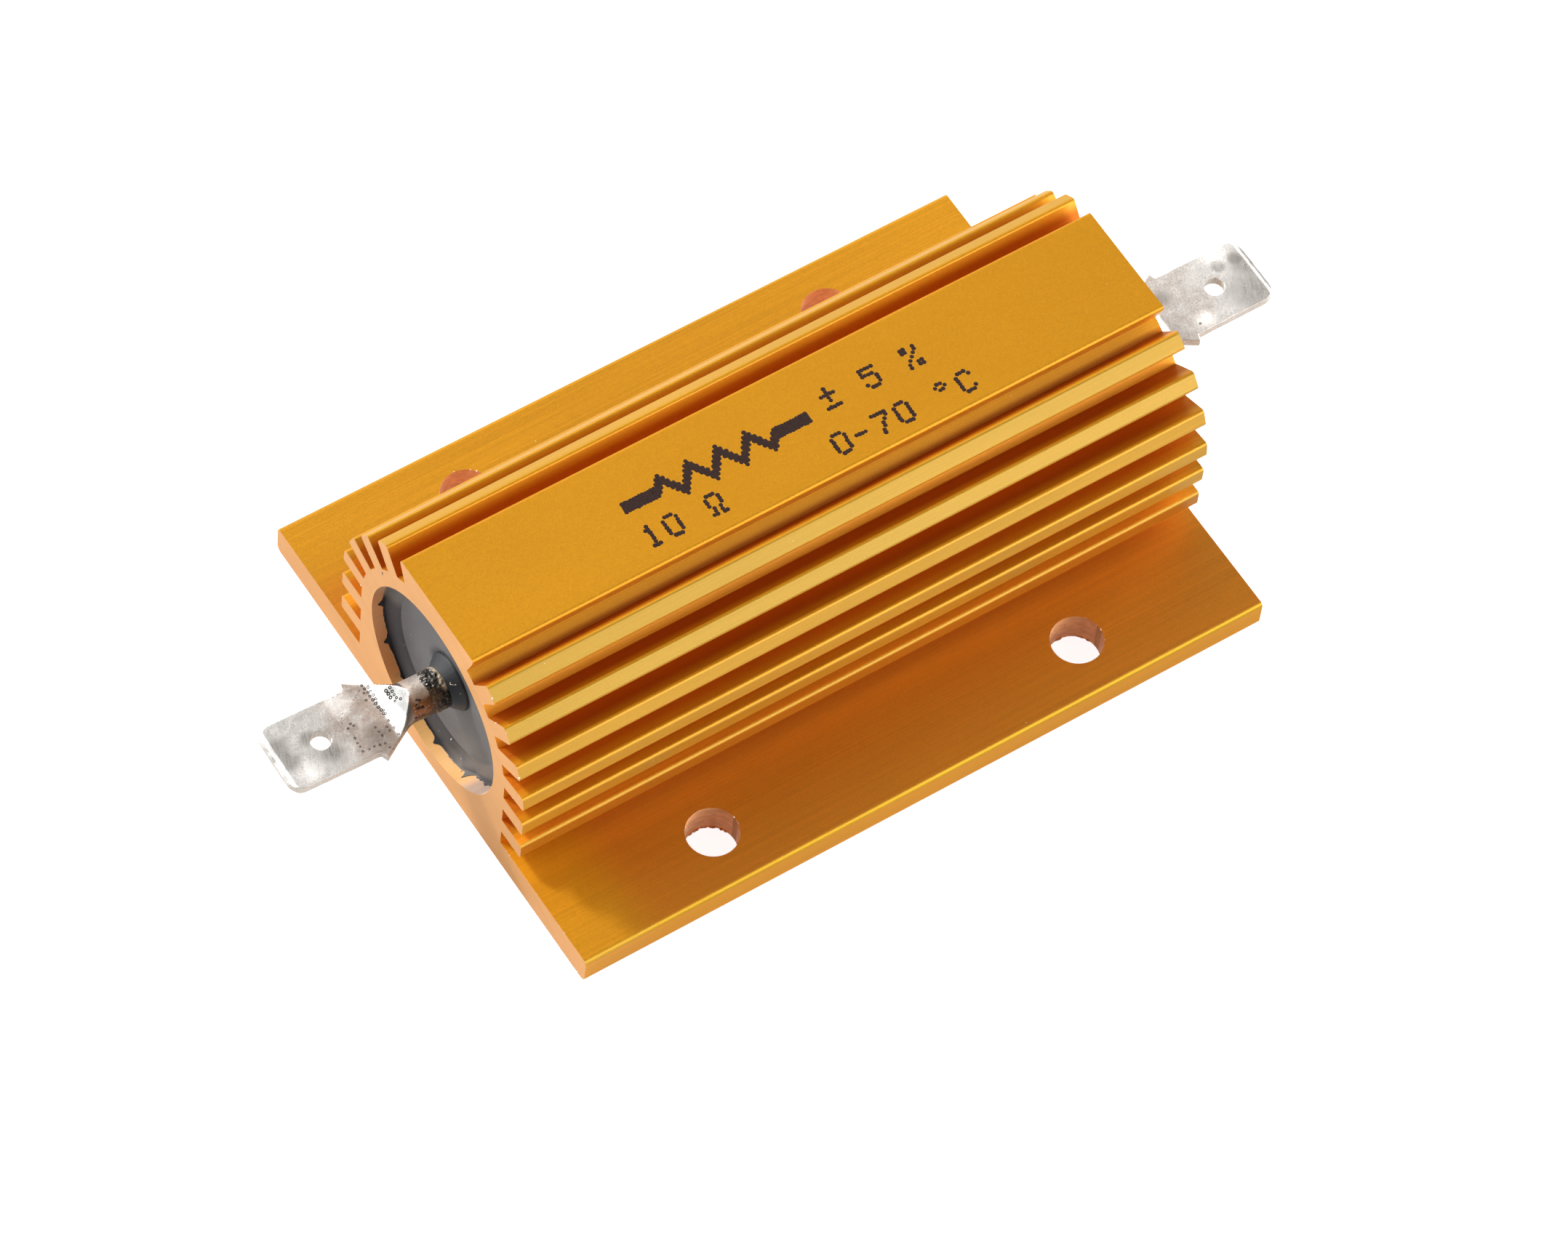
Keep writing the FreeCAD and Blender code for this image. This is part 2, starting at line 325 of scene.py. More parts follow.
def drilledFinish():  # fine rings left by the drill
    f = Finish("drilledWall")
    look = drilledLook
    rings = f.cloud(look["rings"], detail=3.0)
    stain = f.cloud(look["stain"])
    colour = f.mix(stain.above(*look["stained"]), look["dark"], look["light"])
    return f.surface(f.shade(colour, 1 + rings.swing(0.5)), look["metallic"],
                     look["roughness"] + rings.swing(0.2), f.bump(rings, 0.01))


boreLook = {
    "pale": (1.0, 0.68, 0.42), "tan": (1.0, 0.43, 0.16), "deep": (1.0, 0.40, 0.12),
    "amber": (0.76, 0.41, 0.13), "tip": (0.92, 0.66, 0.50), "drawn": [5.0, 0.2, 0.2],
    "patches": 0.9, "tanFrom": (0.5, 5.5), "deepFrom": (-5.0, -2.5),
    "amberFrom": (-8.2, -6.4), "tipAcross": (-6.2, -3.6), "tipFrom": (-3.0, -1.0), "metallic": 0.1,
    "roughness": 0.5, "coat": 0.8, "coatRoughness": 0.3,
}


def boreFinish():  # bare metal: beige at the side, amber below, paler past the bottom
    f = Finish("boreWall")
    look = boreLook
    x, y, z = f.axes()
    drawn = f.cloud(look["drawn"])
    patches = f.cloud(look["patches"], detail=3.0)
    rise = z - axisHeight + patches.swing(1.5)
    across = y + patches.swing(2.0)
    onTip = across.below(*look["tipAcross"]) * rise.below(*look["tipFrom"])
    colour = f.layers(look["pale"], (rise.below(*look["tanFrom"]), look["tan"]),
                      (rise.below(*look["deepFrom"]), look["deep"]),
                      (rise.below(*look["amberFrom"]), look["amber"]), (onTip, look["tip"]))
    colour = f.shade(colour, 1 + drawn.swing(0.25))
    return f.surface(colour, look["metallic"], look["roughness"] + drawn.swing(0.2), f.bump(drawn, 0.003),
                     {"Coat Weight": look["coat"], "Coat Roughness": look["coatRoughness"]})


# Finish of the moulding: charcoal ring, paler disc inside the witness line with a painted highlight on that
# line, slate collar with painted shade at its foot and a painted shadow beside it
compoundLook = {
    "ring": (0.014, 0.015, 0.018), "ringLow": (0.036, 0.037, 0.042), "ringTip": (0.14, 0.135, 0.135),
    "ringTop": (0.085, 0.077, 0.071), "film": (0.014, 0.014, 0.017), "filmTop": (0.30, 0.22, 0.15),
    "disc": (0.087, 0.086, 0.088), "collar": (0.007, 0.009, 0.013), "foot": (0.008, 0.009, 0.012),
    "collarTop": (0.009, 0.010, 0.012), "olive": (0.030, 0.026, 0.018), "dust": (0.35, 0.35, 0.36),
    "mottle": 1.6, "fine": 0.12, "specks": 0.9,
    "speckSize": (0.035, 0.06), "roughness": 0.46, "specular": 0.45, "discRadius": 7.35,
    "collarRadius": 2.58,
}
ringPlaces = {
    "low": (-9.5, -2.0), "tip": (-7.7, -5.7), "top": (0.1, 1.8), "film": (-6.6, -5.2),
    "filmTop": (0.3, 1.4), "filmDepth": (0.14, 0.08), "witnessHighlight": (0.02, 0.07), "shadow": (-1.0, 0.5),
    "shadowWidth": 0.8, "slateTop": (0.9, 2.2), "olive": (-0.6, 0.3),
}


def compoundFinish():
    f = Finish("mouldedCompound")
    look, at = compoundLook, ringPlaces
    x, y, z = f.axes()
    rise = z - axisHeight
    out = (y * y + rise * rise) ** 0.5
    angle = rise.math("ARCTAN2", rise, y)
    fan = f.node("ShaderNodeCombineXYZ", values={0: angle * 30.0, 1: out * 0.5, 2: 0.0})
    streaks = f.cloud(None, where=fan)
    mottle = f.cloud(look["mottle"], detail=3.0)
    fine = f.cloud(look["fine"])
    specks = f.cells(look["specks"]).below(*look["speckSize"])
    discRadius, collarRadius = look["discRadius"], look["collarRadius"]
    onDisc = out.below(discRadius - 0.05, discRadius + 0.02)
    onCollar = out.below(collarRadius, collarRadius + 0.06)
    # the collar's foot side gets a darker colour, painted shade
    onShadedFoot = out.above(collarRadius - 0.05, collarRadius - 0.01) * onCollar
    towardsTip = y * 0.8 + rise * 0.6

    ring = f.layers(look["ring"], ((rise * 0.85 + y * -0.5).below(*at["low"]), look["ringLow"]),
                    (towardsTip.below(*at["tip"]), look["ringTip"]),
                    (rise.above(*at["top"]), look["ringTop"]))
    byCollar = out.below(collarRadius, collarRadius + at["shadowWidth"])
    shadow = 0.75 * byCollar * rise.above(*at["shadow"])
    # painted highlight on the witness line
    witnessHighlight = (out - discRadius).size().below(*at["witnessHighlight"])
    onFilm = out.above(*[boreRadius - depth for depth in at["filmDepth"]])
    onFilm = onFilm * towardsTip.above(*at["film"])
    film = f.mix(rise.above(*at["filmTop"]), look["film"], look["filmTop"])
    slate = f.layers(look["collar"], (rise.above(*at["slateTop"]), look["collarTop"]),
                     (rise.below(*at["olive"]), look["olive"]))
    colour = f.layers(ring, (onDisc, f.shade(look["disc"], 1 - shadow)), (witnessHighlight * 0.5, look["ringTip"]),
                      (onFilm, film), (onCollar, slate), (onShadedFoot, look["foot"]))
    tone = 1 + mottle.swing(0.25) + fine.swing(0.35) + streaks.swing(2.0) * onCollar
    colour = f.mix(specks * (1 - onCollar) * 0.6, f.shade(colour, tone), look["dust"])
    relief = f.bump(fine, 0.003, f.bump(streaks * onCollar, 0.02))
    roughness = look["roughness"] + mottle.swing(0.12) + onCollar * 0.06
    return f.surface(colour, 0.0, roughness, relief, {"Specular IOR Level": look["specular"]})


# Finish of the terminals. A spot is (reach, place across, size).
tinLook = {
    "tin": (0.95, 0.915, 0.865), "copper": (0.30, 0.125, 0.042), "burnt": (0.11, 0.055, 0.025),
    "olive": (0.055, 0.032, 0.016), "umber": (0.30, 0.25, 0.19), "edge": (0.55, 0.47, 0.40),
    "rose": (0.60, 0.47, 0.39), "grey": (0.16, 0.14, 0.12), "rampShadeColour": (0.27, 0.27, 0.26),
    "spark": (0.95, 0.94, 0.92), "holeReach": 10.15, "bevelReach": 14.05, "tabShade": 0.78,
    "grain": 0.15, "sparkles": 0.13, "sparkle": (0.64, 0.74),
    "patches": 0.9, "broad": 2.4, "brushed": [3.0, 0.07, 0.4],
    "brushTurn": (0, 0, 34), "strokes": [1.6, 0.10, 1.0], "strokeTurn": (0, 0, 68),
    # glints are painted highlights; smudges are rubbed dirt and painted shade together
    "blots": [(11.5, 1.5, 0.9), (13.2, 1.5, 0.85)], "glints": [(7.3, 2.6, 1.9), (12.3, -1.8, 1.5)],
    "farGlints": [(7.8, -2.2, 1.25), (11.9, 2.9, 1.8)],
    "smudgesAndShade": [(9.9, -1.1, 1.4), (13.5, 1.3, 1.6), (13.2, -0.3, 1.3), (5.8, -1.9, 2.2), (10.9, 0.9, 1.0)],
    "farSmudgesAndShade": [(13.0, -1.9, 3.4), (13.8, 1.0, 2.0), (5.7, 1.2, 1.2)],
}
tinPlaces = {
    "stemTo": (2.4, 2.9), "rampFrom": (2.4, 2.8), "rampTo": (4.2, 4.6), "rampRise": (0.35, 0.6),
    "tabFrom": (4.3, 4.8), "pink": (0.0, 0.7), "coppery": (-0.45, 0.15), "burnt": (-0.55, -0.1),
    "burntTo": (0.9, 1.8), "dullRise": (-0.1, 0.6), "dullTo": (3.2, 4.2), "rosyTo": (7.5, 10.0),
    "rosyPatch": (0.2, 0.6), "nearEnd": (-1.0, 1.0), "stipple": (0.90, 1.10), "byHole": (1.2, 2.0),
    "byHoleStroke": (0.4, 0.65), "rubbed": (0.4, 0.62), "rampShadeFrom": (2.3, 2.5), "rampShadeRise": (0.7, 1.0),
    "rampShadeTo": (3.4, 3.75), "bevelEdge": (14.4, 14.6), "spotEdge": (0.15, 1.0),
}


def tinnedFinish():  # bright tin, stippled grey and rose on the tab with painted highlights and painted shade, brown low on the stem
    f = Finish("tinnedCopper")
    look, at = tinLook, tinPlaces
    x, y, z = f.axes()
    reach = x.size() - endPlane
    rise = z - axisHeight
    near = x.below(*at["nearEnd"])
    upright = f.facing()[2].size().below(*tilt["upright"])
    grain = f.cloud(look["grain"], detail=3.0)
    sparkle = f.cloud(look["sparkles"], detail=1.0).above(*look["sparkle"])
    patches = f.cloud(look["patches"], detail=3.0, distortion=0.4)
    broad = f.cloud(look["broad"])
    brushed = f.cloud(look["brushed"], turn=look["brushTurn"])
    strokes = f.cloud(look["strokes"], detail=4.0, turn=look["strokeTurn"])
    ragged = patches.swing(2.4)
    onStem = reach.below(*at["stemTo"])
    onRamp = reach.above(*at["rampFrom"]) * reach.below(*at["rampTo"])
    onRamp = onRamp * rise.above(*at["rampRise"])
    onTab = reach.above(*at["tabFrom"])
    lowSide = y * 0.8 + rise * 0.35 + patches.swing(1.2)
    pink = lowSide.below(*at["pink"]) * onStem
    coppery = lowSide.below(*at["coppery"]) * onStem
    burnt = lowSide.below(*at["burnt"]) * reach.below(*at["burntTo"])
    dull = (rise + patches.swing(0.8)).below(*at["dullRise"]) * reach.below(*at["dullTo"])
    rosy = onTab * (reach + broad.swing(8.0)).below(*at["rosyTo"]) * patches.above(*at["rosyPatch"])

    def spotted(spots):
        found = 0.0
        for spotReach, spotPlace, spotSize in spots:
            away = ((reach - spotReach) ** 2 + (y - spotPlace) ** 2) ** 0.5 + ragged * 0.2
            found = (away * (1 / spotSize)).below(*at["spotEdge"]) + found
        return found

    # painted highlights from the glints, painted shade and rubbed dirt from the smudges
    glint = spotted(look["glints"]) * near + spotted(look["farGlints"]) * (1 - near)
    smudgeAndShade = (spotted(look["smudgesAndShade"]) * near + spotted(look["farSmudgesAndShade"]) * (1 - near)) * onTab
    rubbed = strokes * 0.5 + grain * 0.5
    light = look["tabShade"] + glint * 0.42 - smudgeAndShade * (rubbed * 0.45)
    light = light + strokes.swing(0.35)

    stipple = (grain * 0.7 + broad * 0.7 + patches * 0.3).above(*at["stipple"])
    stipple = stipple * onTab * (0.35 + 0.65 * near)
    fromHole = ((reach - look["holeReach"]) ** 2 + y * y) ** 0.5 + ragged * 0.5
    roundHole = fromHole.below(*at["byHole"]) * strokes.above(*at["byHoleStroke"]) * 0.4 * onTab
    stipple = stipple * (1 - near * 0.6) + roundHole
    for blotReach, blotPlace, blotSize in look["blots"]:
        away = ((reach - blotReach) ** 2 + (y - blotPlace) ** 2) ** 0.5 + ragged * 0.25
        stipple = stipple.larger(away.below(blotSize * 0.4, blotSize) * (1 - near) * 0.8)

    # painted shade greys the upper part of the ramp, with brushed streaks along its edge
    rampShade = reach.above(*at["rampShadeFrom"]) * rise.above(*at["rampShadeRise"])
    rampShade = rampShade * (reach - y * 0.12 + brushed.swing(0.4)).below(*at["rampShadeTo"])
    colour = f.layers(look["tin"], (rampShade, look["rampShadeColour"]),
                      (rosy * (0.45 + 0.3 * near) * (1 - glint), look["rose"]),
                      (smudgeAndShade * rubbed.above(*at["rubbed"]) * 0.5, look["umber"]),
                      (upright * (onTab + onRamp) * 0.8, look["edge"]), (stipple * 0.65, look["grey"]),
                      (pink * 0.7, look["rose"]), (coppery * 0.95, look["copper"]),
                      (burnt * 0.8, look["burnt"]), (dull * 0.85, look["olive"]))

    onBevel = reach.above(look["bevelReach"], look["bevelReach"] + 0.1) * (1 - upright)
    bevelShade = 0.25 + 0.2 * reach.below(*at["bevelEdge"]) + (1 - near) * 0.25
    tabTone = 1 + (light - 1) * onTab * (1 - upright)
    tone = tabTone * (1 + grain.swing(0.9) * (1 - 0.9 * onRamp) + brushed.swing(0.25) * onRamp)
    tone = tone * (1 - onBevel * bevelShade)
    colour = f.mix(sparkle * (onStem + rosy * 0.7) * 0.7, f.shade(colour, tone), look["spark"])
    relief = f.bump(grain * (1 - onRamp), 0.012, f.bump(brushed * onRamp, 0.003))
    roughness = 0.36 + grain.swing(0.25) + stipple * 0.12 - 0.04 * onRamp
    return f.surface(colour, 0.9 - 0.3 * coppery - 0.4 * onTab, roughness, relief)


crustLook = {
    "pitch": (0.010, 0.008, 0.006), "brown": (0.060, 0.038, 0.018), "amber": (0.15, 0.095, 0.045),
    "cream": (0.50, 0.40, 0.29), "flake": (0.70, 0.68, 0.62), "lumps": 0.22,
    "blots": 0.5, "slivers": [0.45, 0.07, 0.07], "sliverTurn": (0, 0, 20),
    "topAcross": (-0.75, -0.35), "topRise": (-0.8, 0.4), "amberBlot": (0.42, 0.66), "pitchTo": (0.0, 0.5),
    "pitchBlot": (0.45, 0.6), "brownLump": (0.5, 0.7), "creamTo": (-0.45, -0.25), "creamRise": (0.6, 1.0),
    "bright": (0.64, 0.72),
}


def crustFinish():  # burnt flux: pitch black above, resin brown below, cream by the collar
    f = Finish("weldCrust")
    look = crustLook
    x, y, z = f.axes()
    reach = x.size() - endPlane
    rise = z - axisHeight
    lumps = f.cloud(look["lumps"], detail=4.0)
    blots = f.cloud(look["blots"])
    slivers = f.cloud(look["slivers"], detail=1.0, turn=look["sliverTurn"])
    top = (y + blots.swing(1.4)).above(*look["topAcross"]) * rise.above(*look["topRise"])
    pitchy = reach.below(*look["pitchTo"]) * blots.below(*look["pitchBlot"])
    brown = f.layers(look["brown"], (blots.above(*look["amberBlot"]), look["amber"]),
                     (pitchy, look["pitch"]))
    black = f.mix(lumps.above(*look["brownLump"]), look["pitch"], look["brown"])
    cream = (reach + blots.swing(0.9)).below(*look["creamTo"])
    cream = cream * (rise + y * 0.5).above(*look["creamRise"])
    bright = slivers.above(*look["bright"]) * top * (1 - cream)
    colour = f.layers(brown, (top, black), (cream * 0.85, look["cream"]), (bright, look["flake"]))
    return f.surface(colour, bright * 0.8, 0.30 + lumps.swing(0.3) + cream * 0.2, f.bump(lumps, 0.03))


inkLook = {
    "dark": (0.015, 0.005, 0.003), "light": (0.024, 0.008, 0.005), "wet": 0.12,
    "lightFrom": (0.35, 0.7), "roughness": 0.75, "specular": 0.2,
}


def inkFinish():
    f = Finish("printedInk")
    wet = f.cloud(inkLook["wet"])
    colour = f.mix(wet.above(*inkLook["lightFrom"]), inkLook["dark"], inkLook["light"])
    return f.surface(colour, 0.0, inkLook["roughness"] + wet.swing(0.2),
                     others={"Specular IOR Level": inkLook["specular"]})


def plainFinish(name, colour, metallic, roughness, features, contrast=0.3):  # sealed pieces and small chips
    f = Finish(name)
    grain = f.cloud(features, detail=3.0)
    return f.surface(f.shade(colour, 1 + grain.swing(contrast)), metallic, roughness + grain.swing(0.2),
                     f.bump(grain, 0.01))


gold = anodisedFinish()
sawn = sawnFinish()
drilled = drilledFinish()
bored = boreFinish()
compound = compoundFinish()
tinned = tinnedFinish()
crust = crustFinish()
ink = inkFinish()
chipGrain = 0.1
bareMetal = plainFinish("bareBurr", (0.80, 0.70, 0.58), 0.6, 0.4, chipGrain)
paleDust = plainFinish("paleDust", (0.80, 0.70, 0.54), 0.0, 0.6, chipGrain)
fluxDark = plainFinish("fluxRing", (0.030, 0.020, 0.020), 0.0, 0.5, chipGrain)
ceramic = plainFinish("firedCeramic", (0.85, 0.83, 0.78), 0.0, 0.6, 0.4, 0.12)
ribbon = plainFinish("resistanceAlloy", (0.45, 0.43, 0.40), 1.0, 0.35, [0.1, 2.0, 2.0])
capSteel = plainFinish("platedSteel", (0.50, 0.50, 0.50), 1.0, 0.3, [3.0, 0.2, 0.2])
print("finishes made")


def dressNode(name, finish):
    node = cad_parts[name]
    node.data.materials.clear()
    node.data.materials.append(finish)
    return node.data


def dressHousing():  # the ends are sawn, the holes drilled, the bore bare, the rest gold
    mesh = dressNode("housing", gold)
    for finish in (sawn, drilled, bored):
        mesh.materials.append(finish)
    for face in mesh.polygons:
        centre = face.center / mm
        holeDistance = min((centre - hole).xy.length for hole in holeCentres)
        if abs(face.normal.x) > 0.99:
            face.material_index = 1
        elif math.hypot(centre.y, centre.z - axisHeight) < boreRadius + nearby:
            face.material_index = 3
        elif holeDistance < holes["radius"] + nearby and abs(face.normal.z) < 0.1:
            face.material_index = 2


dressHousing()
dressNode("ceramic_core", ceramic)
dressNode("resistance_winding", ribbon)
for piece in ("end_cap_left", "end_cap_right", "lead_pin_left", "lead_pin_right"):
    dressNode(piece, capSteel)
print("nodes dressed")


def addObject(name, data):
    made = bpy.data.objects.new(name, data)
    bpy.context.scene.collection.objects.link(made)
    return made


def addMesh(name, shape):
    mesh = bpy.data.meshes.new(name)
    shape.to_mesh(mesh)
    shape.free()
    return addObject(name, mesh)


def addBall(shape, fineness):
    return bmesh.ops.create_icosphere(shape, subdivisions=fineness, radius=1.0)["verts"]


def addPiece(name, shape, finish, stoodFor=(), creaseAngle=40):
    bmesh.ops.scale(shape, vec=(mm, mm, mm), verts=shape.verts)
    for vertex in shape.verts:
        vertex.co = [min(max(place, low - proud), high + proud)
                     for place, low, high in zip(vertex.co, *cadBox)]
    piece = addMesh(name, shape)
    piece.data.materials.append(finish)
    piece.data.shade_smooth()
    piece.data.set_sharp_from_angle(angle=math.radians(creaseAngle))
    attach(piece, "root")
    if stoodFor:
        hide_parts(*stoodFor)


# Moulding: one turned shape, its thin torn flash left standing on the bore wall.
# A spike is (degrees round the bore, height, width).
moulding = {
    "steps": 640, "rimRecess": 0.98, "faceRecess": 1.68, "lineRadius": 7.35, "collarFoot": 2.58,
    "collarHeight": 0.96, "filmThickness": 0.06,
    "spikes": [(-2, 0.56, 2.4), (-29, 0.52, 2.4), (-88, 0.50, 2.2), (-116, 0.80, 1.8),
               (-50, 0.18, 2.0), (-34, 0.12, 3.0), (-134, 0.32, 2.4), (-162, 0.25, 2.0)],
    "tornFrom": -160, "tornTo": -110, "tornDepth": 0.55, "tornHinge": 7.4, "ragged": 0.07, "fine": 0.05,
    "farTurn": 1.7, "spikeSpread": 2.6, "spikeSharp": 3.2, "dishDepth": 1.40, "dishRadius": 8.0,
    "wallGap": 0.004,
}


def tornDepth(side, degrees):  # the one stretch where the flash broke away deeper
    share = (degrees - moulding["tornFrom"]) / (moulding["tornTo"] - moulding["tornFrom"])
    torn = side < 0 and 0 < share < 1
    return moulding["tornDepth"] * min(1.0, 5 * share, 5 * (1 - share)) if torn else 0.0


def flashEdge(side, degrees):  # how far back from the sawn end the torn film stops
    spin = math.radians(degrees)
    ragged = noise.noise(Vector((7 * math.cos(spin), 7 * math.sin(spin), 3.0 * side)))
    fine = noise.noise(Vector((40 * math.cos(spin), 40 * math.sin(spin), 5.0 * side)))
    recess = moulding["rimRecess"] + 0.02 - moulding["ragged"] * ragged - moulding["fine"] * fine
    recess += tornDepth(side, degrees) * (0.8 + 0.5 * fine)
    for centre, height, width in moulding["spikes"]:
        place = degrees - centre + 180 if side < 0 else degrees + moulding["farTurn"] * centre
        share = abs(place % 360 - 180) / (moulding["spikeSpread"] * width)
        recess -= height * max(0.0, 1 - share) ** moulding["spikeSharp"]
    return recess


def ringAt(shape, x, radius, segments):
    turn = Matrix.Translation((x, 0, axisHeight)) @ Matrix.Rotation(math.radians(90), 4, "Y")
    made = bmesh.ops.create_circle(shape, radius=radius, segments=segments, matrix=turn)["verts"]
    return list(dict.fromkeys(edge for vertex in made for edge in vertex.link_edges))


def buildMoulding():
    rim, face = moulding["rimRecess"], moulding["faceRecess"]
    line, foot = moulding["lineRadius"], moulding["collarFoot"]
    wall = boreRadius - moulding["wallGap"]
    film = wall - moulding["filmThickness"]
    collarTop = face - moulding["collarHeight"]
    # Depth from the sawn end and radius: film on the wall, dish, disc, then the collar up to the stem
    rings = [(rim + 1.6, wall), (0, wall), (0.012, film + 0.02), (0, film), (rim + 0.16, film - 0.01),
             (rim + 0.22, film - 0.32), (moulding["dishDepth"], moulding["dishRadius"]),
             (face - 0.02, line + 0.06), (face - 0.03, line + 0.02), (face - 0.005, line - 0.03),
             (face, 6.2), (face, 3.3), (face + 0.05, foot + 0.22), (face + 0.08, foot + 0.02),
             (face - 0.03, foot), (face - 0.09, foot - 0.02), (face - 0.15, foot - 0.09),
             (collarTop + 0.36, stemRadius + 0.40),
             (collarTop + 0.10, stemRadius + 0.14), (collarTop, stemRadius + 0.05),
             (collarTop + 0.02, stemRadius - 0.05)]
    stations = [(recess - endPlane, radius) for recess, radius in reversed(rings)]
    stations += [(endPlane - recess, radius) for recess, radius in rings]
    shape = bmesh.new()
    loops = [ringAt(shape, x, radius, moulding["steps"]) for x, radius in stations]
    for first, second in zip(loops, loops[1:]):
        bmesh.ops.bridge_loops(shape, edges=first + second)
    for loop in (loops[0], loops[-1]):
        bmesh.ops.contextual_create(shape, geom=loop)
    for vertex in shape.verts:
        side = 1 if vertex.co.x > 0 else -1
        radius = math.hypot(vertex.co.y, vertex.co.z - axisHeight)
        degrees = math.degrees(math.atan2(vertex.co.z - axisHeight, vertex.co.y))
        depth = endPlane - abs(vertex.co.x)
        if depth < 0.013 and radius > film - 0.005:  # the film's edge
            vertex.co.x = side * (endPlane - flashEdge(side, degrees) - depth)
        elif depth < moulding["dishDepth"] + 0.05 and radius > moulding["dishRadius"] - 0.1 and depth > 0.5:
            bend = (radius - moulding["tornHinge"]) / (film - moulding["tornHinge"])
            vertex.co.x -= side * tornDepth(side, degrees) * bend
    bmesh.ops.recalc_face_normals(shape, faces=shape.faces)
    addPiece("moulding_ends", shape, compound, ["moulding"])


buildMoulding()
print("moulding made")


# Terminals: the CAD shape with its edges worn round, the near one welded on slightly askew
terminal = {
    "voxel": 0.065, "relax": 2, "turn": (0.7, 1.45, -1.25), "weldReach": -0.6,
    "wobble": 0.02, "holeReach": tinLook["holeReach"], "holeRadius": 0.85, "holeBand": 0.05, "waves": 1.4,
}


def softenedCopy(nodeName):
    shape = bmesh.new()
    shape.from_mesh(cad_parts[nodeName].data)
    bmesh.ops.remove_doubles(shape, verts=shape.verts, dist=mergeGap)
    bmesh.ops.scale(shape, vec=(1 / mm, 1 / mm, 1 / mm), verts=shape.verts)
    rough = addMesh("roughShape", shape)
    remesh = rough.modifiers.new("Remesh", "REMESH")
    remesh.mode = "VOXEL"
    remesh.voxel_size = terminal["voxel"]
    relax = rough.modifiers.new("Smooth", "SMOOTH")
    relax.iterations = terminal["relax"]
    relax.factor = 0.5
    settled = rough.evaluated_get(bpy.context.evaluated_depsgraph_get())
    shape = bmesh.new()
    shape.from_mesh(settled.to_mesh())
    settled.to_mesh_clear()
    bpy.data.objects.remove(rough)
    return shape


def askew(side):  # how each terminal sits on its pin: the near one slightly crooked
    root = Vector((side * (endPlane + terminal["weldReach"]), 0, axisHeight))
    if side > 0:
        return Matrix.Translation(root)
    turn = Euler([math.radians(angle) for angle in terminal["turn"]])
    return Matrix.Translation(root) @ turn.to_matrix().to_4x4()


def buildTerminal(side, nodeName):
    shape = softenedCopy(nodeName)
    hole = Vector((side * (endPlane + terminal["holeReach"]), 0))
    for vertex in shape.verts:
        out = vertex.co.xy - hole
        if abs(out.length - terminal["holeRadius"]) < terminal["holeBand"]:
            vertex.co.xy = hole + out.normalized() * terminal["holeRadius"]
        else:
            wave = vertex.co * terminal["waves"] + alongX * side * 9
            vertex.co += noise.noise_vector(wave) * terminal["wobble"]
    root = alongX * side * (endPlane + terminal["weldReach"]) + alongZ * axisHeight
    bmesh.ops.transform(shape, matrix=askew(side) @ Matrix.Translation(-root), verts=shape.verts)
    skin = bvhtree.BVHTree.FromBMesh(shape)
    addPiece("terminal_" + ends[side] + "_tinned", shape, tinned,
             [nodeName], creaseAngle=80)
    return skin


noise.seed_set(5)  # without it noise vectors depend on the clock
skins = {-1: buildTerminal(-1, "terminal_left"), 1: buildTerminal(1, "terminal_right")}
print("terminals made")


# Flux rings on the tabs and ramps, drops on the stems.
# A row is (reach from the sawn end, place across, step along, step across, count, size).
ringRows = [
    (4.76, 2.83, -0.03, -0.385, 9, 1.2), (4.44, 2.43, 0.0, -0.39, 8, 1.1),
    (4.55, -1.0, -0.03, -0.7, 3, 1.0), (3.56, 1.24, -0.01, -0.37, 3, 1.25),
    (3.22, 1.22, 0.0, -0.36, 4, 1.25), (3.45, 0.1, -0.42, -0.2, 2, 1.0),
    (5.78, -1.02, -0.06, -0.42, 3, 0.9), (7.68, -1.07, 0.02, -0.45, 4, 0.9),
    (4.98, -1.35, -0.1, -0.38, 2, 0.8), (5.8, -2.6, 0.45, 0.07, 4, 0.8), (7.7, 0.0, -0.3, 0.26, 2, 0.85),
    (7.16, -0.06, 0.0, 0.0, 1, 0.8), (5.0, 2.15, 0.15, -0.62, 2, 0.8), (5.75, -3.1, -0.3, -0.22, 2, 0.7),
    (6.0, 2.0, -0.19, 0.12, 6, 0.4), (6.9, 3.0, 0.42, -0.04, 2, 0.45), (7.9, 0.6, -0.25, 0.35, 3, 0.45),
]
# A drop is (reach, degrees round the stem).
drops = [(1.84, 125), (2.15, 144), (2.2, 133), (1.81, 146), (2.50, 169), (1.79, 176), (0.66, 145),
         (0.68, 168), (2.04, 121), (0.24, 125)]
spot = {
    "ring": 0.088, "wire": 0.042, "drop": Vector((0.17, 0.115, 0.035)), "turns": 14, "clear": 4,
    "wander": 0.03, "farGone": 0.93, "sizes": (0.75, 1.1), "wires": (0.8, 1.2), "flat": 0.7,
    "dropTurn": (-40, 40), "dropSizes": (0.7, 1.15),
}


def layOn(side, start, aim):  # where a line meets the terminal, with Z turned along the normal there
    place = askew(side)
    start = place @ Vector((side * (start.x - terminal["weldReach"]), start.y, start.z))
    hit, normal = skins[side].ray_cast(start, place.to_3x3() @ aim)[:2]
    if hit is None:
        return None
    return Matrix.Translation(hit) @ normal.to_track_quat("Z", "X").to_matrix().to_4x4()


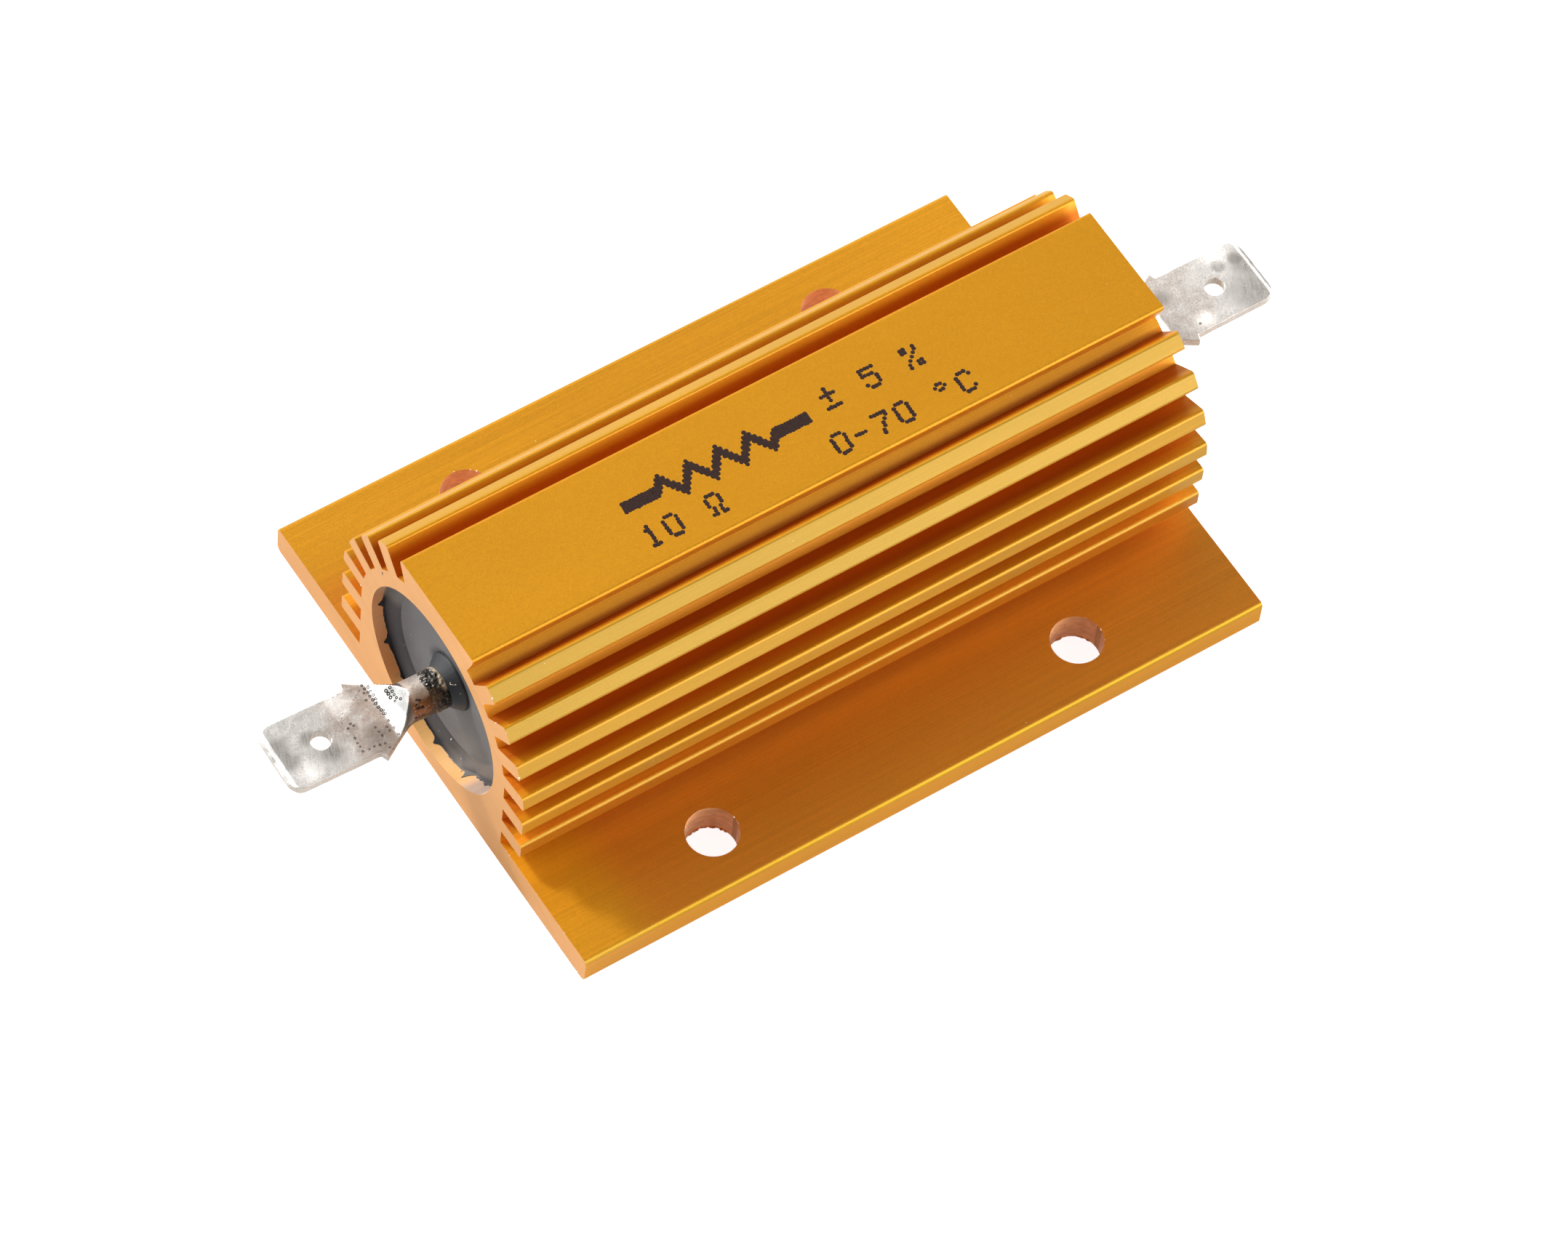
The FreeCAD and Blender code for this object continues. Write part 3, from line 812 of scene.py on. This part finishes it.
def buildFluxSpots(side):
    dice = random.Random(50 + side)
    shape = bmesh.new()
    for reach, across, along, sideways, count, scale in ringRows:
        for index in range(count):
            wander = Vector((dice.gauss(0, spot["wander"]), dice.gauss(0, spot["wander"]), 0))
            start = Vector((reach + along * index, across + sideways * index, spot["clear"])) + wander
            place = layOn(side, start, -alongZ)
            if place is None or (side > 0 and dice.random() < spot["farGone"]):
                continue
            size = scale * dice.uniform(*spot["sizes"])
            rim = []
            for turn in range(spot["turns"]):
                angle = 2 * math.pi * turn / spot["turns"]
                wire = spot["wire"] * size * dice.uniform(*spot["wires"])
                outward = onCircle(angle)
                up = alongZ * wire * spot["flat"]
                centre = outward * spot["ring"] * size
                corners = [centre + outward * wire, centre + up, centre - outward * wire, centre - up]
                rim.append([shape.verts.new(place @ corner) for corner in corners])
            for one, two in zip(rim, rim[1:] + rim[:1]):
                for corner in range(4):
                    following = (corner + 1) % 4
                    shape.faces.new((one[corner], two[corner], two[following], one[following]))
    for reach, degrees in drops:
        if side > 0:
            degrees += dice.uniform(*spot["dropTurn"])
        outward = Vector((0, math.cos(math.radians(degrees)), math.sin(math.radians(degrees))))
        place = layOn(side, alongX * reach + outward * spot["clear"], -outward)
        if place is None:
            continue
        made = addBall(shape, 2)
        size = spot["drop"] * dice.uniform(*spot["dropSizes"])
        bmesh.ops.transform(shape, matrix=place @ Matrix.Diagonal((size.y, size.x, size.z, 1)), verts=made)
    bmesh.ops.recalc_face_normals(shape, faces=shape.faces)
    addPiece("flux_spots_" + ends[side], shape, fluxDark)


for side in ends:
    buildFluxSpots(side)
print("flux spots made")


# Weld crust round each stem, where pin and terminal were butted together
crustBand = {
    "from": -0.74, "to": 0.66, "topReach": 0.40, "around": 150, "along": 26, "smooth": 0.05,
    "rough": 0.20, "inside": 0.12, "lumps": 3.3, "raggedness": 0.16, "ragged": 1.9, "sink": 0.03,
}


def buildCrust(side):
    shape = bmesh.new()
    span = crustBand["to"] - crustBand["from"]
    rows = crustBand["along"]
    profile = []
    for row in range(rows + 1):
        reach = crustBand["from"] + span * row / rows
        profile.append(shape.verts.new((side * (endPlane + reach), stemRadius, axisHeight)))
    for row in (rows, 0):
        reach = crustBand["from"] + span * row / rows
        inside = stemRadius - crustBand["inside"]
        profile.append(shape.verts.new((side * (endPlane + reach), inside, axisHeight)))
    edges = [shape.edges.new(pair) for pair in zip(profile, profile[1:] + profile[:1])]
    bmesh.ops.spin(shape, geom=profile + edges, cent=(0, 0, axisHeight), axis=alongX, angle=2 * math.pi,
                   steps=crustBand["around"], use_merge=True)
    for vertex in shape.verts:
        outward = Vector((0, vertex.co.y, vertex.co.z - axisHeight))
        if outward.length < stemRadius - 0.05:
            continue
        reach = abs(vertex.co.x) - endPlane
        share = (reach - crustBand["from"]) / span
        rise = max(0.0, outward.z / stemRadius)
        rough = noise.fractal(vertex.co * crustBand["lumps"], 0.8, 2.2, 5)
        height = crustBand["smooth"] + (crustBand["rough"] - crustBand["smooth"]) * rise ** 3
        lump = height * (0.55 + 0.9 * rough) * min(1.0, 8 * share, 6 * (1 - share))
        place = Vector((vertex.co.y, vertex.co.z, side * 4)) * crustBand["ragged"]
        ragged = crustBand["raggedness"] * noise.fractal(place, 1.0, 2.0, 3)
        vertex.co += outward.normalized() * max(-crustBand["sink"], lump)
        vertex.co.x += side * share * (crustBand["topReach"] * rise ** 2 + ragged)
    bmesh.ops.recalc_face_normals(shape, faces=shape.faces)
    addPiece("weld_crust_" + ends[side], shape, crust)


for side in ends:
    buildCrust(side)
print("weld crust made")


# Printed mark: dots of ink in rows, a resistor symbol with a plain value and rating
mark = {
    "dot": 0.205, "pitch": 0.30, "lift": 0.012, "sides": 12, "tilt": -0.7, "jitter": 0.018,
    "symbolStart": Vector((-14.9, -1.0)), "symbolEnd": 2.0, "upperStart": Vector((4.0, 0.2)),
    "lowerStart": Vector((-14.9, -3.75)), "lowerSecond": Vector((2.6, -3.9)), "letterPitch": 1.95,
    "columnPitch": 0.95, "symbolPitch": 0.9, "middle": 1.35, "peak": 3.2, "leadShare": 0.18, "strokes": 8,
    "rows": (-1.3, -0.65, 0.0, 0.65, 1.3), "dots": (0.9, 1.08), "heights": (0.1, 0.5), "taper": 0.8,
}
dotRows = {
    "0": "01110 10001 10001 10001 10001 10001 01110",
    "1": "00100 01100 00100 00100 00100 00100 01110",
    "5": "11111 10000 11110 00001 00001 10001 01110",
    "7": "11111 00001 00010 00100 00100 01000 01000",
    "C": "01110 10001 10000 10000 10000 10001 01110",
    "%": "11001 11001 00010 00100 01000 10011 10011",
    "Ω": "01110 10001 10001 10001 01010 01010 11011",
    "°": "01100 10010 01100 00000 00000 00000 00000",
    "±": "00100 00100 11111 00100 00100 00000 11111",
    "-": "00000 00000 00000 11110 00000 00000 00000",
}


def letterDots(text, start):
    for index, letter in enumerate(text):
        for row, line in enumerate(dotRows.get(letter, "").split()):
            for column, dot in enumerate(line):
                if dot == "1":
                    along = index * mark["letterPitch"] + column * mark["pitch"] * mark["columnPitch"]
                    yield start + Vector((along, (6 - row) * mark["pitch"]))


def symbolDots():  # zigzag with a lead at each end, five rows of dots thick
    start, pitch, lead = mark["symbolStart"], mark["pitch"], mark["leadShare"]
    step = pitch * mark["symbolPitch"]
    columns = round((mark["symbolEnd"] - start.x) / step)
    for column in range(columns + 1):
        share = column / columns
        swing = 0.0
        if lead <= share <= 1 - lead:
            phase = (share - lead) / (1 - 2 * lead) * mark["strokes"] * math.pi
            swing = math.asin(math.sin(phase)) / (math.pi / 2)
        for row in mark["rows"]:
            height = mark["middle"] + (mark["peak"] * swing + row) * pitch
            yield Vector((start.x + column * step, start.y + height))


def buildMark():
    dice = random.Random(11)
    shape = bmesh.new()
    dots = list(symbolDots())
    dots += letterDots("± 5 %", mark["upperStart"])
    dots += letterDots("10 Ω", mark["lowerStart"])
    dots += letterDots("0-70 °C", mark["lowerSecond"])
    for dot in dots:
        radius = mark["dot"] * dice.uniform(*mark["dots"])
        wander = Vector((dice.gauss(0, mark["jitter"]), dice.gauss(0, mark["jitter"])))
        height = flatHeight + mark["lift"] * dice.uniform(*mark["heights"])
        place = Matrix.Translation((dot + wander).to_3d() + alongZ * height)
        bmesh.ops.create_cone(shape, cap_ends=True, segments=mark["sides"], radius1=radius,
                              radius2=radius * mark["taper"], depth=mark["lift"], matrix=place)
    turn = Matrix.Rotation(math.radians(mark["tilt"]), 3, "Z")
    bmesh.ops.rotate(shape, cent=(0, -1, 0), matrix=turn, verts=shape.verts)
    addPiece("printed_mark", shape, ink)


buildMark()
print("mark printed")


# Small chips: burrs on the sawn edges and the hole rims, flakes on the flash, fibres on the collar
burrs = {
    "perEnd": 45, "sizes": (0.02, 0.075), "perHole": 14, "underEdge": 16, "underFrom": (-22.6, -19.5),
    "lowRim": 12, "lowRimTurn": (20, 160), "lowRimLength": (0.10, 0.38), "lowRimHeight": (0.04, 0.13),
    "lowRimLift": 0.06, "lowRimDepth": 0.05, "uneven": (0.7, 1.2), "endGap": 0.01,
}


def addChip(shape, centre, lengths, dice):
    made = addBall(shape, 1)
    for vertex in made:
        vertex.co *= dice.uniform(*burrs["uneven"])
    turn = Euler([dice.uniform(0, math.pi) for axis in range(3)]).to_matrix().to_4x4()
    place = Matrix.Translation(centre) @ turn @ Matrix.Diagonal((*lengths, 1))
    bmesh.ops.transform(shape, matrix=place, verts=made)


dust = {  # places are (depth in from the sawn end, across, rise over the axis)
    "pale": [((1.68, 5.9, -1.15), 0.07), ((1.53, -0.82, -7.67), 0.09), ((1.33, -2.68, -7.82), 0.08),
             ((1.35, -1.98, 1.25), 0.06), ((0.92, -3.26, -8.49), 0.12), ((0.98, -3.70, -8.31), 0.10)],
    "fibres": [((0.95, -1.09, 1.68), (1.26, -1.38, 1.80)), ((0.95, -1.09, 1.68), (0.99, -0.98, 1.79))],
    "fibreSteps": 8, "fibreSize": 0.035, "residue": [(-10, -27), (-33, -62), (-91, -112)],
    "outward": 0.10, "leastDepth": 0.06, "step": 0.8, "stepSpread": (0.4, 1.6), "sizes": (0.015, 0.05),
}


def buildDust():  # specks, two fibres and pale residue by the flash, all at the near end
    dice = random.Random(7)
    shape = bmesh.new()

    def placed(recess, y, rise):
        return Vector((recess - endPlane, y, axisHeight + rise))

    for place, size in dust["pale"]:
        addChip(shape, placed(*place), (size * 0.6, size, size * 0.7), dice)
    for start, end in dust["fibres"]:
        for step in range(dust["fibreSteps"] + 1):
            place = placed(*start).lerp(placed(*end), step / dust["fibreSteps"])
            addChip(shape, place + alongZ * 0.03 * math.sin(step * 0.9), [dust["fibreSize"]] * 3, dice)
    for first, last in dust["residue"]:
        degrees = first
        while degrees > last:
            spin = math.radians(degrees)
            recess = max(dust["leastDepth"], flashEdge(-1, degrees) - dust["outward"])
            place = placed(recess, boreRadius * math.cos(spin), boreRadius * math.sin(spin))
            addChip(shape, place, [dice.uniform(*dust["sizes"]) for axis in range(3)], dice)
            degrees -= dust["step"] * dice.uniform(*dust["stepSpread"])
    addPiece("flash_dust", shape, paleDust)


def sawnEdges(side):  # the housing's edges round one sawn end
    outline = bmesh.new()
    outline.from_mesh(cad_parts["housing"].data)
    bmesh.ops.remove_doubles(outline, verts=outline.verts, dist=mergeGap)
    outline.normal_update()
    found = []
    for edge in outline.edges:
        atEnd = all(vertex.co.x * side > (endPlane - burrs["endGap"]) * mm for vertex in edge.verts)
        flatness = [abs(face.normal.x) for face in edge.link_faces]
        if atEnd and len(flatness) == 2 and max(flatness) > 0.99 and min(flatness) < 0.1:
            found.append([vertex.co / mm for vertex in edge.verts])
    outline.free()
    return found


def buildSawBurrs(side):
    dice = random.Random(20 + side)
    shape = bmesh.new()
    edges = sawnEdges(side)
    lengths = [(second - first).length for first, second in edges]
    for first, second in dice.choices(edges, weights=lengths, k=burrs["perEnd"]):
        place = first.lerp(second, dice.random())
        if math.hypot(place.y, place.z - axisHeight) < boreRadius + nearby:
            continue
        size = dice.uniform(*burrs["sizes"])
        place.z = max(place.z, size * 1.3)
        addChip(shape, place, (size * 0.8, size, size * dice.uniform(0.5, 1.0)), dice)
    for index in range(burrs["underEdge"] if side < 0 else 0):
        size = dice.uniform(*burrs["sizes"])
        place = Vector((side * endPlane, dice.uniform(*burrs["underFrom"]), size))
        addChip(shape, place, (size * 0.8, size * 1.5, size), dice)
    addPiece("saw_burrs_" + ends[side], shape, bareMetal)


def buildHoleBurrs():  # on the upper rims
    dice = random.Random(31)
    shape = bmesh.new()
    for centre in holeCentres:
        for index in range(burrs["perHole"]):
            angle = dice.uniform(0, 2 * math.pi)
            rim = onCircle(angle) * holes["radius"]
            size = dice.uniform(*burrs["sizes"]) * 0.7
            addChip(shape, centre + rim + alongZ * flangeTop, (size, size * 1.6, size * 0.7), dice)
    addPiece("hole_burrs", shape, bareMetal)


def buildHoleChips():  # what the drill pushed out low on the wall, at the side that shows
    dice = random.Random(47)
    shape = bmesh.new()
    for centre in holeCentres:
        for index in range(burrs["lowRim"]):
            angle = math.radians(dice.uniform(*burrs["lowRimTurn"]))
            length, height = dice.uniform(*burrs["lowRimLength"]), dice.uniform(*burrs["lowRimHeight"])
            rim = onCircle(angle) * (holes["radius"] - height * 0.3)
            made = addBall(shape, 1)
            turn = Matrix.Rotation(angle, 4, "Z")
            place = Matrix.Translation(centre + rim + alongZ * burrs["lowRimLift"]) @ turn
            size = Matrix.Diagonal((height, length, burrs["lowRimDepth"], 1))
            bmesh.ops.transform(shape, matrix=place @ size, verts=made)
    addPiece("hole_chips", shape, drilled)


buildDust()
for side in ends:
    buildSawBurrs(side)
buildHoleBurrs()
buildHoleChips()
print("burrs made")


# Floor, lights and camera
stage = {
    "floorRadius": 4.0, "segments": 96, "floor": (0.86, 0.86, 0.86), "white": (1.0, 1.0, 1.0),
    "grain": 0.6, "grainTone": 0.02, "glow": 0.55, "glowStrength": 0.76, "seenStrength": 0.85,
    "sky": 0.08,
}
lamps = {
    "keyLamp": {"bearing": -27.0, "rise": 42.0, "distance": 1.3, "size": 0.17, "power": 12.0},
    "frontLamp": {"bearing": 155.0, "rise": 42.0, "distance": 1.2, "size": 0.40, "power": 1.2},
}
# Soft white panels in the sky: (bearing from +Y, height, strength), angles in degrees.
# They are bright as far as inner and fade out at outer.
panels = {
    "inner": 8.0, "outer": 38.0, "horizon": (-0.02, 0.02),
    "places": [(90, 10, 8.2), (135, 10, 5.4), (315, 10, 4.3), (315, 38, 1.8), (0, 38, 0.65), (45, 10, 0.8)],
}


def towards(bearing, rise):  # direction from a compass bearing and a height, both in degrees
    bearing, rise = math.radians(bearing), math.radians(rise)
    return Vector((math.sin(bearing) * math.cos(rise), math.cos(bearing) * math.cos(rise), math.sin(rise)))


def buildFloor():  # pale, and whiter where the camera or a reflection sees it
    shape = bmesh.new()
    bmesh.ops.create_circle(shape, cap_ends=True, radius=stage["floorRadius"], segments=stage["segments"])
    floor = addMesh("floor", shape)
    f = Finish("paleFloor")
    grain = f.cloud(stage["grain"])
    rays = ("Is Camera Ray", "Is Glossy Ray", "Is Transmission Ray")
    camera, glossy, through = [f.node("ShaderNodeLightPath", output=ray) for ray in rays]
    base = f.shade(stage["floor"], 1 + grain.swing(stage["grainTone"]))
    shader = f.node("ShaderNodeBsdfPrincipled", {}, {"Base Color": base, "Roughness": 0.9,
                                                     "Specular IOR Level": 0.0})
    strength = camera * stage["seenStrength"] + stage["glowStrength"]
    glow = f.node("ShaderNodeEmission", {}, {"Color": stage["white"], "Strength": strength})
    share = (camera + glossy + through) * stage["glow"]
    both = f.node("ShaderNodeMixShader", {}, {0: share, 1: shader, 2: glow})
    f.node("ShaderNodeOutputMaterial", {}, {"Surface": both})
    floor.data.materials.append(f.material)


def buildSky():
    world = bpy.data.worlds.new("softSky")
    f = Finish("softSky", world)
    outlook = f.node("ShaderNodeTexCoord", output="Generated")
    edges = [math.cos(math.radians(panels[edge])) for edge in ("outer", "inner")]
    strength = stage["sky"]
    for bearing, rise, power in panels["places"]:
        facing = f.node("ShaderNodeVectorMath", {"operation": "DOT_PRODUCT"},
                        {0: outlook, 1: towards(bearing, rise)}, output="Value")
        strength = facing.above(*edges) * power + strength
    strength = strength * f.parts(outlook)[2].above(*panels["horizon"])
    backdrop = f.node("ShaderNodeBackground", {}, {"Color": stage["white"], "Strength": strength})
    f.node("ShaderNodeOutputWorld", {}, {"Surface": backdrop})
    bpy.context.scene.world = world


def addLamp(name, settings):  # a disc lamp that looks at the part
    aim = towards(settings["bearing"], settings["rise"])
    lamp = bpy.data.lights.new(name, "AREA")
    lamp.shape = "DISK"
    lamp.size = settings["size"]
    lamp.energy = settings["power"]
    made = addObject(name, lamp)
    made.location = aim * settings["distance"]
    made.rotation_euler = aim.to_track_quat("Z", "Y").to_euler()


view = {
    "place": Vector((-215.11, -268.47, 552.18)), "turn": (31.42496, -3.73313, -32.89861), "lens": 183.80,
    "sensor": 36.0, "nearest": 0.05, "farthest": 20.0,
}


def buildCamera():
    lens = bpy.data.cameras.new("studioCamera")
    lens.sensor_width = view["sensor"]
    lens.lens = view["lens"]
    lens.clip_start = view["nearest"]
    lens.clip_end = view["farthest"]
    camera = addObject("studioCamera", lens)
    camera.location = view["place"] * mm
    camera.rotation_euler = [math.radians(angle) for angle in view["turn"]]
    bpy.context.scene.camera = camera
    bpy.context.scene.view_settings.view_transform = "Standard"


buildFloor()
buildSky()
for name, settings in lamps.items():
    addLamp(name, settings)
buildCamera()
print("stage set")
